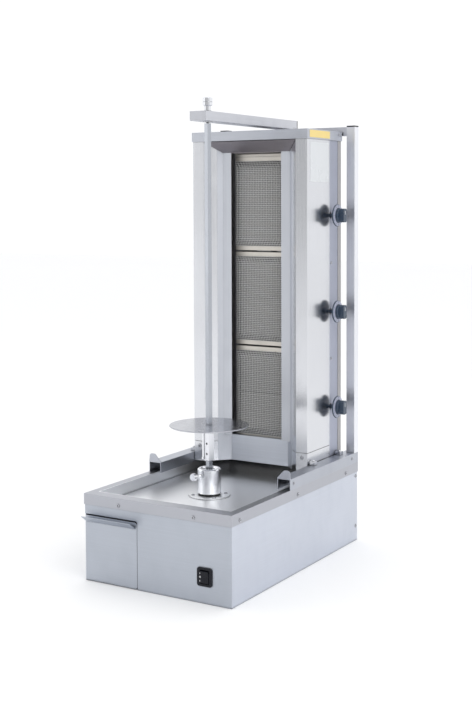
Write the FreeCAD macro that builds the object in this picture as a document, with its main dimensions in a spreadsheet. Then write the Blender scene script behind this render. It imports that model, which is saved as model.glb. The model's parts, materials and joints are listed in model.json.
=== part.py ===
import FreeCAD, Part
import os
import re
import Sketcher

# Vertical rotisserie broiler for a concession counter.
# Frame: millimetres, +Z up, the front faces -Y, +X is the operator's right.
# Origin: centre of the base's underside, on the counter.

doc = FreeCAD.newDocument("vertical_rotisserie_broiler")
sheet = doc.addObject("Spreadsheet::Sheet", "Sheet")

DIMENSIONS = [
    # base cabinet
    ("base_width", 358, "over the trim band"),
    ("base_depth", 560, "over the trim band"),
    ("base_height", 182, "counter to rim"),
    ("steel", 1.5, "sheet thickness of the body"),
    ("trim_height", 22.5, "folded band round the top of the base"),
    ("pan_side_rim", 19, "outer edge to recess, left and right"),
    ("pan_front_rim", 28, "outer edge to recess, front and rear"),
    ("pan_depth", 25, "rim to drip floor"),
    ("pan_corner", 6, "recess corner radius"),
    ("gland_across", 100, "cable gland X"),
    ("gland_up", 40, "cable gland Z"),
    ("gland_radius", 8, "cable gland body"),
    ("cord_radius", 4, "bore for the mains lead"),
    ("drain_radius", 9, "grease drain above the drawer"),
    ("drain_across", -110, "grease drain X"),
    ("drain_along", -205, "grease drain Y"),
    # drip drawer
    ("bay_width", 134, "drawer bay, from the left edge"),
    ("bay_height", 140, "drawer bay opening"),
    ("bay_corner", 5, "corner radius of the opening"),
    ("drawer_gap", 1, "gap round the drawer front"),
    ("drawer_height", 137, "top of the drawer front"),
    ("drawer_length", 310, "drawer tray"),
    ("drawer_wall", 1.2, "drawer sheet"),
    ("tray_height", 110, "drawer side walls"),
    ("lip_reach", 18, "pull lip ahead of the drawer front"),
    ("lip_rise", 14, "rise of the pull lip"),
    ("lip_margin", 5, "lip ends inside the bay, each side"),
    # rocker switch
    ("switch_across", 116.5, "switch centre X"),
    ("switch_up", 53, "switch centre Z"),
    ("switch_width", 34, "bezel"),
    ("switch_height", 37, "bezel"),
    ("rocker_width", 20, "rocker"),
    ("rocker_height", 27, "rocker"),
    ("pivot_radius", 1.5, "rocker pivot"),
    # rails
    ("rail_width", 31, "inverted channel on each side rim"),
    ("rail_height", 23, "channel height above the rim"),
    ("rail_start", -46, "front end Y"),
    ("hump_height", 18, "front stop above the channel"),
    # frame
    ("tube", 20, "square tube of the rear frame"),
    ("tube_wall", 1.5, "tube wall"),
    ("frame_top", 951, "top of posts and crossbar"),
    ("arm_width", 40, "top arm across"),
    ("arm_front", -116, "front end Y of the top arm"),
    ("cap_height", 3, "plastic post cap"),
    # spit
    ("spit_along", -78, "spit axis Y"),
    ("spit_side", 10, "square spit bar"),
    ("spit_turn", -14, "rest angle of the spit"),
    ("socket_side", 10.4, "square hole round the bar"),
    ("cup_radius", 25, "drive cup"),
    ("cup_bottom", 162.3, "drive cup underside"),
    ("cup_top", 216, "drive cup rim"),
    ("flange_radius", 44, "bearing flange on the drip floor"),
    ("flange_height", 2.5, "bearing flange"),
    ("flange_screw_across", 26, "bearing flange screws, X from the spit axis"),
    ("flange_screw_along", 24, "bearing flange screws, Y from the spit axis"),
    ("gearbox_half", 34, "half width of the gearbox"),
    ("gearbox_height", 58, "gearbox"),
    ("motor_radius", 27, "motor can"),
    ("motor_end", 130, "outer end X of the motor can"),
    ("shaft_radius", 8, "drive shaft"),
    ("running", 0.05, "radial clearance of a running fit"),
    ("disc_radius", 85, "meat disc"),
    ("disc_up", 309, "top of the meat disc"),
    ("disc_height", 3, "meat disc rim"),
    ("sleeve_side", 14.4, "square sleeve under the disc"),
    ("sleeve_bottom", 233, "lower end of the sleeve"),
    ("pin_radius", 4, "top pivot pin"),
    ("tip_radius", 3, "pin tip in the spit"),
    ("bar_top", 947, "upper end of the spit bar"),
    # tower
    ("tower_half", 147, "half width of the burner tower"),
    ("tower_front", 90, "front face Y at rest"),
    ("tower_rear", 255, "rear face Y at rest"),
    ("tower_bottom", 186.5, "underside"),
    ("tower_top", 940, "top of the cap"),
    ("cap_skirt", 21, "top cap height"),
    ("post_face", 28, "front facing strip of each side"),
    ("wing_reach", 32, "reflector wing, across and back"),
    ("flange_face", 22, "inner strip of each wing"),
    ("foot_top", 231, "top of the foot plates"),
    ("strip_start", 198, "front edge Y of the control strip"),
    ("cover_start", 239, "front edge Y of the rear cover"),
    ("hood_drop", 24, "fall of the hood"),
    ("apron_top", 246, "top edge of the apron"),
    ("apron_reach", 45, "apron behind the front face; the wings reach it below its top"),
    # burners
    ("burner_first", 346, "centre Z of the lowest burner"),
    ("burner_pitch", 216, "burner spacing"),
    ("burner_half", 57, "half width of the glowing face"),
    ("burner_tall", 84, "half height of the glowing face"),
    ("mesh_along", 137, "front of the mesh, Y"),
    ("mesh_rise", 8, "mesh ahead of the burner's frame"),
    ("mesh_margin", 4, "mesh beyond the glowing face"),
    ("burner_rim", 22, "frame above and below the glowing face"),
    ("burner_side", 10, "frame beside the glowing face"),
    ("burner_deep", 58, "depth of a burner box"),
    ("wire", 1.2, "mesh wire"),
    ("tile_height", 83, "one ceramic tile"),
    ("tile_thick", 12, "ceramic tile"),
    # gas train
    ("knob_along", 204, "knob axis Y"),
    ("knob_drop", 27, "knob axis below its burner"),
    ("skirt_radius", 25, "knob skirt"),
    ("grip_radius", 15.5, "knob hub"),
    ("knob_stand", 15, "side sheet to the knob skirt"),
    ("knob_reach", 36, "side sheet to the knob's outer end"),
    ("grip_half", 8, "half thickness of the grip bar"),
    ("manifold_across", 112, "gas manifold X"),
    ("manifold_radius", 9, "gas manifold"),
    ("inlet_radius", 10.5, "gas inlet thread"),
    ("inlet_length", 20, "gas inlet thread behind the cover"),
    ("inlet_up", 232, "gas inlet Z"),
]

for row, (alias, number, note) in enumerate(DIMENSIONS, start=1):
    sheet.set(f"A{row}", alias)
    sheet.set(f"B{row}", str(number))
    sheet.set(f"C{row}", note)
    sheet.setAlias(f"B{row}", alias)
doc.recompute()

node_objects = []


# ---------------------------------------------------------------- helpers

def link(text):
    """Point each dimension's name in an expression at the sheet."""
    return re.sub(r"\b([a-z]\w*)\b(?!\s*\()", r"Sheet.\1", str(text))


def value(text):
    """Number that an expression has now."""
    return float(sheet.evalExpression(link(text)))


def bind(item, path, text):
    item.setExpression(path, link(text))


def place(item, x="0", y="0", z="0"):
    bind(item, "Placement.Base.x", x)
    bind(item, "Placement.Base.y", y)
    bind(item, "Placement.Base.z", z)
    return item


def node(label, item):
    """Name a finished sub-part and list it for export."""
    item.Label = label
    node_objects.append(item)
    return item


def block(name, x, y, z):
    """Box from pairs of (low, high) expressions."""
    item = doc.addObject("Part::Box", name)
    for side, (low, high) in zip(("Length", "Width", "Height"), (x, y, z)):
        bind(item, side, f"({high}) - ({low})")
    return place(item, x[0], y[0], z[0])


AXIS_TURN = {
    "x": FreeCAD.Rotation(FreeCAD.Vector(0, 1, 0), 90),
    "y": FreeCAD.Rotation(FreeCAD.Vector(1, 0, 0), -90),
    "z": FreeCAD.Rotation(),
}


def rod(name, axis, radius, centre, span):
    """Cylinder along an axis; centre holds the other two coordinates in order."""
    item = doc.addObject("Part::Cylinder", name)
    bind(item, "Radius", radius)
    bind(item, "Height", f"({span[1]}) - ({span[0]})")
    item.Placement = FreeCAD.Placement(FreeCAD.Vector(), AXIS_TURN[axis])
    where = list(centre)
    where.insert("xyz".index(axis), span[0])
    return place(item, *where)


def join(name, *parts):
    item = doc.addObject("Part::MultiFuse", name)
    item.Shapes = list(parts)
    return item


def carve(name, base, *tools):
    """Base less every tool."""
    item = doc.addObject("Part::Cut", name)
    item.Base = base
    item.Tool = tools[0] if len(tools) == 1 else join(f"{name}_tools", *tools)
    return item


def group(name, parts):
    """Separate solids kept in one node."""
    item = doc.addObject("Part::Compound", name)
    item.Links = list(parts)
    return item


def new_body(name):
    return doc.addObject("PartDesign::Body", name)


def new_sketch(body, role, offset="0"):
    """Sketch on one of the body's own origin planes."""
    sketch = body.newObject("Sketcher::SketchObject", f"{body.Name}_sketch")
    plane = [f for f in body.Origin.OriginFeatures if f.Role == role][0]
    sketch.AttachmentSupport = (plane, [""])
    sketch.MapMode = "FlatFace"
    bind(sketch, "AttachmentOffset.Base.z", offset)
    return sketch


def pin_point(sketch, geometry, position, point):
    """Hold one point of the sketch at a pair of expressions."""
    for kind, text in zip(("DistanceX", "DistanceY"), point):
        index = sketch.addConstraint(
            Sketcher.Constraint(kind, -1, 1, geometry, position, value(text)))
        bind(sketch, f"Constraints[{index}]", text)


def polygon(sketch, points):
    """Closed outline through pairs of expressions."""
    corners = [FreeCAD.Vector(value(x), value(y), 0) for x, y in points]
    first = sketch.GeometryCount
    count = len(points)
    for i in range(count):
        sketch.addGeometry(Part.LineSegment(corners[i], corners[(i + 1) % count]), False)
    for i in range(count):
        after = first + (i + 1) % count
        sketch.addConstraint(Sketcher.Constraint("Coincident", first + i, 2, after, 1))
        pin_point(sketch, first + i, 1, points[i])


def rectangle(sketch, x, y):
    polygon(sketch, [(x[0], y[0]), (x[1], y[0]), (x[1], y[1]), (x[0], y[1])])


def circle(sketch, centre, radius):
    middle = FreeCAD.Vector(value(centre[0]), value(centre[1]), 0)
    index = sketch.addGeometry(
        Part.Circle(middle, FreeCAD.Vector(0, 0, 1), value(radius)), False)
    size = sketch.addConstraint(Sketcher.Constraint("Radius", index, value(radius)))
    bind(sketch, f"Constraints[{size}]", radius)
    pin_point(sketch, index, 3, centre)


def feature(body, kind, sketch, length, backwards=False):
    """Pad or Pocket of a sketch by an expression."""
    item = body.newObject(f"PartDesign::{kind}", f"{body.Name}_{kind.lower()}")
    item.Profile = sketch
    bind(item, "Length", length)
    item.Reversed = backwards
    return item


def revolve(body, points, role="XZ_Plane"):
    """Turn a closed outline of (radius, height) pairs round the body's Z axis."""
    sketch = new_sketch(body, role)
    polygon(sketch, points)
    item = body.newObject("PartDesign::Revolution", f"{body.Name}_turn")
    item.Profile = sketch
    item.ReferenceAxis = (sketch, ["V_Axis"])
    item.Angle = 360
    return item


def soften(body, base, radius, wanted):
    """Fillet the edges of a feature that a test picks out."""
    doc.recompute()
    names = [f"Edge{i}" for i, edge in enumerate(base.Shape.Edges, start=1) if wanted(edge)]
    item = body.newObject("PartDesign::Fillet", f"{body.Name}_fillet")
    item.Base = (base, names)
    bind(item, "Radius", radius)
    return item


def edge_along(edge, axis):
    """True for a straight edge that runs along X, Y or Z."""
    if edge.Curve.TypeId != "Part::GeomLine":
        return False
    return abs(abs(getattr(edge.Curve.Direction, axis)) - 1) < 1e-6


def box_tube(name, axis, x, y, z):
    """Square tube with open ends, along X, Y or Z."""
    sides = dict(zip("xyz", (x, y, z)))
    inner = {
        a: span if a == axis else (f"{span[0]} + tube_wall", f"{span[1]} - tube_wall")
        for a, span in sides.items()
    }
    outside = block(f"{name}_outside", x, y, z)
    inside = block(f"{name}_inside", inner["x"], inner["y"], inner["z"])
    return carve(name, outside, inside)


def screw(name, axis, way, centre, face, radius="3", height="2"):
    """Domed screw head on a face, with its shank behind."""
    if way > 0:
        head, shank = (face, f"{face} + {height}"), (f"{face} - 5", face)
    else:
        head, shank = (f"{face} - {height}", face), (face, f"{face} + 5")
    return join(name, rod(f"{name}_head", axis, radius, centre, head),
                rod(f"{name}_shank", axis, f"({radius})*0.55", centre, shank))


# Repeated places, as expressions.
BODY_SIDE = "(base_width/2 - steel)"
BODY_END = "(base_depth/2 - steel)"
RIM_UNDER = "(base_height - steel)"
PAN_FLOOR = "(base_height - pan_depth)"
BAY_RIGHT = "(-base_width/2 + bay_width)"
RAIL_TOP = "(base_height + rail_height)"
RAIL_INNER = "(base_width/2 - rail_width)"
BASE_REAR = "(base_depth/2)"
BURNER_FACE = "(mesh_along + mesh_rise)"
GLAND_SPOT = ("gland_across", "gland_up")


# ---------------------------------------------------------------- base cabinet

def make_base_panels():
    """Folded cabinet: floor, sides, rear and the front with its cut-outs."""
    node("base_floor", block(
        "base_floor",
        (f"-{BODY_SIDE} + steel", f"{BODY_SIDE} - steel"),
        (f"-{BODY_END} + steel", f"{BODY_END} - steel"),
        ("0", "steel")))
    for side, x in (("left", (f"-{BODY_SIDE}", f"-{BODY_SIDE} + steel")),
                    ("right", (f"{BODY_SIDE} - steel", BODY_SIDE))):
        node(f"base_{side}_panel", block(
            f"base_{side}_panel", x,
            (f"-{BODY_END} + steel", f"{BODY_END} - steel"), ("0", RIM_UNDER)))

    rear = block("rear_sheet", (f"-{BODY_SIDE}", BODY_SIDE),
                 (f"{BODY_END} - steel", BODY_END), ("0", RIM_UNDER))
    slots = [block(f"rear_vent{i}", ("-60", "60"), (f"{BODY_END} - 10", f"{BODY_END} + 10"),
                   (f"80 + {i}*12", f"84 + {i}*12")) for i in range(5)]
    gland_hole = rod("gland_hole", "y", "gland_radius", GLAND_SPOT,
                     (f"{BODY_END} - 10", f"{BODY_END} + 10"))
    node("base_rear_panel", carve("base_rear_panel", rear, gland_hole, *slots))

    body = new_body("base_front_panel")
    sketch = new_sketch(body, "XZ_Plane", BODY_END)
    polygon(sketch, [
        (BAY_RIGHT, "0"), (BODY_SIDE, "0"), (BODY_SIDE, RIM_UNDER),
        (f"-{BODY_SIDE}", RIM_UNDER), (f"-{BODY_SIDE}", "bay_height"),
        (BAY_RIGHT, "bay_height")])
    sheet_pad = feature(body, "Pad", sketch, "steel", backwards=True)
    corner_x, corner_z = value(BAY_RIGHT), value("bay_height")
    soften(body, sheet_pad, "bay_corner", lambda e: edge_along(e, "y")
           and abs(e.CenterOfMass.x - corner_x) < 1e-3
           and abs(e.CenterOfMass.z - corner_z) < 1e-3)
    hole = new_sketch(body, "XZ_Plane", BODY_END)
    rectangle(hole, ("switch_across - rocker_width/2 - 3", "switch_across + rocker_width/2 + 3"),
              ("switch_up - rocker_height/2 - 2", "switch_up + rocker_height/2 + 2"))
    feature(body, "Pocket", hole, "steel*2")
    node("base_front_panel", body)


def make_top_pan():
    """Pressed top: trim band, rim and the drip recess."""
    x_side = ("-base_width/2", "base_width/2")
    y_side = ("-base_depth/2", "base_depth/2")
    lid = carve(
        "pan_lid",
        block("lid_outside", x_side, y_side, ("base_height - trim_height", "base_height")),
        block("lid_inside", (f"-{BODY_SIDE}", BODY_SIDE), (f"-{BODY_END}", BODY_END),
              ("base_height - trim_height - 1", RIM_UNDER)))
    well_x = "(base_width/2 - pan_side_rim)"
    well_y = "(base_depth/2 - pan_front_rim)"

    def rounded(name, grow, bottom, height):
        body = new_body(name)
        sketch = new_sketch(body, "XY_Plane", bottom)
        rectangle(sketch, (f"-{well_x} - {grow}", f"{well_x} + {grow}"),
                  (f"-{well_y} - {grow}", f"{well_y} + {grow}"))
        pad = feature(body, "Pad", sketch, height)
        soften(body, pad, f"pan_corner + {grow}", lambda e: edge_along(e, "z"))
        return body

    well = rounded("pan_well", "steel", f"{PAN_FLOOR} - steel", "pan_depth + steel")
    recess = rounded("pan_recess", "0", PAN_FLOOR, "pan_depth + 5")
    through = (f"{PAN_FLOOR} - 10", f"{PAN_FLOOR} + 1")
    shaft_hole = rod("pan_shaft_hole", "z", "shaft_radius + 4", ("0", "spit_along"), through)
    drain = rod("pan_drain", "z", "drain_radius", ("drain_across", "drain_along"), through)
    node("top_pan", carve("top_pan", join("pan_sheet", lid, well), recess, shaft_hole, drain))


def make_cabinet_screws():
    """Screws of the trim band, the rear corners and the rails."""
    screws = []
    up = "base_height - 15"
    for i, x in enumerate(("-91", "91")):
        screws.append(screw(f"front_screw{i}", "y", -1, (x, up), "-base_depth/2"))
        screws.append(screw(f"rear_screw{i}", "y", 1, (x, up), BASE_REAR))
    for i, y in enumerate(("-base_depth/2 + 31", "-12", "base_depth/2 - 63")):
        screws.append(screw(f"right_screw{i}", "x", 1, (y, up), "base_width/2"))
        screws.append(screw(f"left_screw{i}", "x", -1, (y, up), "-base_width/2"))
    for i, z in enumerate(("34", "150")):
        for side, way in (("right", 1), ("left", -1)):
            screws.append(screw(f"corner_{side}{i}", "x", way, ("base_depth/2 - 9", z),
                                f"{way}*{BODY_SIDE}"))
    for side, way in (("right", 1), ("left", -1)):
        for i, y in enumerate(("rail_start + 16", "base_depth/2 - 31")):
            screws.append(screw(f"rail_screw_{side}{i}", "x", way,
                                (y, "base_height + 12"), f"{way}*base_width/2",
                                radius="2.6", height="1.6"))
    node("cabinet_screws", group("cabinet_screws", screws))


def make_drawer_runners():
    """Wall of the drawer bay and the two angles that carry the drawer."""
    back = "drawer_length - base_depth/2"
    wall = block("bay_wall", (f"{BAY_RIGHT} + 2", f"{BAY_RIGHT} + 2 + steel"),
                 (f"-{BODY_END} + steel", back), ("steel", "bay_height + 10"))
    inner_left = f"-{BODY_SIDE} + steel"
    runners = [
        block("runner_left", (inner_left, f"{inner_left} + 2.5"),
              (f"-{BODY_END} + 6", back), ("steel", "steel + 8")),
        block("runner_right", (f"{BAY_RIGHT} - 0.5", f"{BAY_RIGHT} + 2"),
              (f"-{BODY_END} + 6", back), ("steel", "steel + 8")),
    ]
    node("drawer_bay", group("drawer_bay", [wall] + runners))


def make_cable_gland():
    """Round gland in the rear panel, bored for the mains lead."""
    nut = rod("gland_nut", "y", "gland_radius + 3", GLAND_SPOT, (BODY_END, f"{BODY_END} + 1.4"))
    core = rod("gland_core", "y", "gland_radius", GLAND_SPOT, (f"{BODY_END} - 14", BODY_END))
    bore = rod("gland_bore", "y", "cord_radius", GLAND_SPOT, (f"{BODY_END} - 20", f"{BODY_END} + 5"))
    node("cable_gland", carve("cable_gland_open", join("gland_body", nut, core), bore))


# ---------------------------------------------------------------- drip drawer

def make_drawer():
    """Tray with a front panel and a flared pull lip along its top."""
    left, right = f"(-{BODY_SIDE} + steel + 3.3)", f"({BAY_RIGHT} - 2.5)"
    front, back = f"(-{BODY_END})", "(drawer_length - base_depth/2 - 2)"
    bottom = "(steel + 1)"
    tray = carve(
        "tray",
        block("tray_outside", (left, right), (f"{front} + steel", back), (bottom, "tray_height")),
        block("tray_inside", (f"{left} + drawer_wall", f"{right} - drawer_wall"),
              (f"{front} + steel + drawer_wall", f"{back} - drawer_wall"),
              (f"{bottom} + drawer_wall", "tray_height + 5")))
    node("drip_tray", tray)

    body = new_body("drawer_front")
    sketch = new_sketch(body, "XZ_Plane", BODY_END)
    rectangle(sketch, (f"-{BODY_SIDE} + drawer_gap*1.5", f"{BAY_RIGHT} - drawer_gap"),
              ("drawer_gap*2", "drawer_height"))
    panel = feature(body, "Pad", sketch, "steel", backwards=True)
    corner_x = value(f"{BAY_RIGHT} - drawer_gap")
    soften(body, panel, "bay_corner", lambda e: edge_along(e, "y")
           and abs(e.CenterOfMass.x - corner_x) < 1e-3)
    lip = new_sketch(body, "YZ_Plane", "-base_width/2 + lip_margin")
    root, tip = "drawer_height - lip_rise", "drawer_height"
    polygon(lip, [
        (f"{front} + steel/2", root), (f"{front} - lip_reach", tip),
        (f"{front} - lip_reach - steel/2", f"{tip} + steel"),
        (f"{front} + steel/2", f"{root} + steel*2")])
    feature(body, "Pad", lip, "bay_width - lip_margin*2")
    node("drawer_front", body)


# ---------------------------------------------------------------- rocker switch

def make_switch():
    """Panel rocker switch: bezel with its housing, and the rocker."""
    def across(half):
        return (f"switch_across - {half}", f"switch_across + {half}")

    def upright(half):
        return (f"switch_up - {half}", f"switch_up + {half}")

    face = f"-{BODY_END}"
    body = new_body("bezel_plate")
    sketch = new_sketch(body, "XZ_Plane", BODY_END)
    rectangle(sketch, across("switch_width/2"), upright("switch_height/2"))
    plate = feature(body, "Pad", sketch, "2.5")
    soften(body, plate, "5", lambda e: edge_along(e, "y"))
    housing = block("switch_housing", across("(rocker_width/2 + 2.5)"),
                    (face, f"{face} + 26"), upright("(rocker_height/2 + 1.5)"))
    well = block("switch_well", across("(rocker_width/2 + 0.4)"),
                 (f"{face} - 5", f"{face} + 12"), upright("(rocker_height/2 + 0.4)"))
    pivot_spot = (f"{face} + 6", "switch_up")
    bores = rod("rocker_bores", "x", "pivot_radius + running", pivot_spot,
                across("(rocker_width/2 + 5)"))
    node("switch_bezel", carve("switch_bezel_open", join("switch_shell", body, housing),
                               well, bores))

    rocker = new_body("rocker")
    profile = new_sketch(rocker, "YZ_Plane", "switch_across - rocker_width/2")
    half = "(rocker_height/2 - 1.5)"
    polygon(profile, [
        (f"{face} - 5", f"switch_up + {half} - 0.5"), (f"{face} - 3.6", "switch_up"),
        (f"{face} - 5", f"switch_up - {half} + 0.5"), (f"{face} + 2", f"switch_up - {half}"),
        (f"{face} + 8", "switch_up - 4"), (f"{face} + 8", "switch_up + 4"),
        (f"{face} + 2", f"switch_up + {half}")])
    feature(rocker, "Pad", profile, "rocker_width")
    pivot = rod("rocker_pivot", "x", "pivot_radius", pivot_spot, across("(rocker_width/2 + 2.3)"))
    node("switch_rocker", join("rocker_on_pivot", rocker, pivot))


# ---------------------------------------------------------------- rails

def make_rail(side, way):
    """Inverted channel on a side rim, with an upright stop at its front end."""
    outer, inner = f"{way}*base_width/2", f"{way}*{RAIL_INNER}"
    body = new_body(f"rail_{side}")
    sketch = new_sketch(body, "XZ_Plane", "-rail_start")
    wall = f"{way}*steel"
    polygon(sketch, [
        (outer, "base_height"), (outer, RAIL_TOP), (inner, RAIL_TOP), (inner, "base_height"),
        (f"{inner} + {wall}", "base_height"), (f"{inner} + {wall}", f"{RAIL_TOP} - steel"),
        (f"{outer} - {wall}", f"{RAIL_TOP} - steel"), (f"{outer} - {wall}", "base_height")])
    feature(body, "Pad", sketch, "base_depth/2 - rail_start", backwards=True)
    stop = new_sketch(body, "XZ_Plane", "-rail_start")
    polygon(stop, [
        (inner, f"{RAIL_TOP} - steel"), (outer, f"{RAIL_TOP} - steel"),
        (outer, f"{RAIL_TOP} + 2"), (f"{outer} - {way}*1.5", f"{RAIL_TOP} + hump_height"),
        (f"{outer} - {way}*15", f"{RAIL_TOP} + hump_height"), (inner, f"{RAIL_TOP} + 1")])
    upright = feature(body, "Pad", stop, "steel", backwards=True)
    peak = value(f"{RAIL_TOP} + hump_height")
    soften(body, upright, "6", lambda e: edge_along(e, "y")
           and abs(e.CenterOfMass.z - peak) < 1e-3)
    node(f"rail_{side}", body)


# ---------------------------------------------------------------- rear frame and arm

def make_frame():
    """Two rear posts, the crossbar, the arm over the spit and the tubes' end caps."""
    caps = []
    rear = ("base_depth/2 - tube", BASE_REAR)
    for side, x in (("left", ("-base_width/2", "-base_width/2 + tube")),
                    ("right", ("base_width/2 - tube", "base_width/2"))):
        node(f"rear_post_{side}", box_tube(f"rear_post_{side}", "z", x, rear,
                                           (RAIL_TOP, "frame_top")))
        lid = block(f"cap_lid_{side}", x, rear, ("frame_top", "frame_top + cap_height"))
        plug = block(f"cap_plug_{side}",
                     (f"{x[0]} + tube_wall", f"{x[1]} - tube_wall"),
                     (f"{rear[0]} + tube_wall", f"{rear[1]} - tube_wall"),
                     ("frame_top - 10", "frame_top"))
        caps.append(join(f"post_cap_{side}", lid, plug))
    node("rear_crossbar", box_tube("rear_crossbar", "x",
                                   ("-base_width/2 + tube", "base_width/2 - tube"),
                                   rear, ("frame_top - tube", "frame_top")))

    half = "arm_width/2"
    arm = box_tube("arm_tube", "y", (f"-{half}", half), ("arm_front", BASE_REAR),
                   ("frame_top", "frame_top + tube"))
    front_plate = block("arm_front_plate", (f"-{half}", half),
                        ("arm_front", "arm_front + tube_wall"), ("frame_top", "frame_top + tube"))
    bore = rod("arm_bore", "z", "8", ("0", "spit_along"), ("frame_top - 5", "frame_top + tube + 5"))
    node("top_arm", carve("top_arm", join("arm_steel", arm, front_plate), bore))
    caps.append(join(
        "arm_cap",
        block("arm_plug_lid", (f"-{half}", half), (BASE_REAR, f"{BASE_REAR} + cap_height"),
              ("frame_top", "frame_top + tube")),
        block("arm_plug_core", (f"-{half} + tube_wall", f"{half} - tube_wall"),
              (f"{BASE_REAR} - 8", BASE_REAR),
              ("frame_top + tube_wall", "frame_top + tube - tube_wall"))))
    node("tube_end_caps", group("tube_end_caps", caps))

    sleeve = rod("bush_sleeve", "z", "8", ("0", "spit_along"),
                 ("frame_top", "frame_top + tube"))
    lower = rod("bush_lower", "z", "10", ("0", "spit_along"), ("frame_top - 1.5", "frame_top"))
    upper = rod("bush_upper", "z", "10", ("0", "spit_along"),
                ("frame_top + tube", "frame_top + tube + 2"))
    hole = rod("bush_hole", "z", "pin_radius + running", ("0", "spit_along"),
               ("frame_top - 5", "frame_top + tube + 5"))
    node("upper_bush", carve("upper_bush", join("bush_body", sleeve, lower, upper), hole))


# ---------------------------------------------------------------- drive

def make_drive():
    """Gearmotor under the drip floor, its bearing flange and seal."""
    under = f"{PAN_FLOOR} - steel"
    top = f"{PAN_FLOOR} + flange_height"
    body = new_body("cup_flange")
    sketch = new_sketch(body, "XY_Plane", PAN_FLOOR)
    circle(sketch, ("0", "0"), "flange_radius")
    circle(sketch, ("0", "0"), "shaft_radius + running")
    feature(body, "Pad", sketch, "flange_height")
    place(body, "0", "spit_along", "0")
    node("cup_flange", body)

    seal = carve("shaft_seal",
                 rod("seal_ring", "z", "cup_radius - 2", ("0", "spit_along"), (top, f"{top} + 2.5")),
                 rod("seal_hole", "z", "shaft_radius + running", ("0", "spit_along"),
                     (f"{top} - 1", f"{top} + 4")))
    node("shaft_seal", seal)

    screws = []
    for way_x in (-1, 1):
        for way_y in (-1, 1):
            spot = (f"{way_x}*flange_screw_across", f"spit_along + {way_y}*flange_screw_along")
            screws.append(screw(f"flange_screw{way_x}{way_y}", "z", 1, spot, top, "3.2", "1.8"))
    node("flange_screws", group("flange_screws", screws))

    half = "gearbox_half"
    box = block("gearbox_block", (f"-{half}", half),
                ("spit_along - 40", "spit_along + 40"), (f"{under} - gearbox_height", under))
    cavity = block("gearbox_cavity", (f"-{half} + 5", f"{half} - 5"),
                   ("spit_along - 35", "spit_along + 35"), (f"{under} - 50", f"{under} - 8"))
    bore = rod("gearbox_bore", "z", "shaft_radius + running", ("0", "spit_along"),
               (f"{under} - 54", f"{under} + 5"))
    holes = []
    for way_x in (-1, 1):
        for way_y in (-1, 1):
            holes.append(rod(f"screw_room{way_x}{way_y}", "z", "2.5",
                             (f"{way_x}*flange_screw_across", f"spit_along + {way_y}*flange_screw_along"),
                             (f"{under} - 7", f"{under} + 1")))
    node("gearbox_housing", carve("gearbox_housing", box, cavity, bore, *holes))

    middle = f"{under} - gearbox_height/2"
    motor = rod("motor_can", "x", "motor_radius", ("spit_along", middle), (half, "motor_end"))
    rear_cap = rod("motor_cap", "x", "motor_radius - 5", ("spit_along", middle),
                   ("motor_end", "motor_end + 8"))
    node("drive_motor", join("drive_motor", motor, rear_cap))


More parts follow.
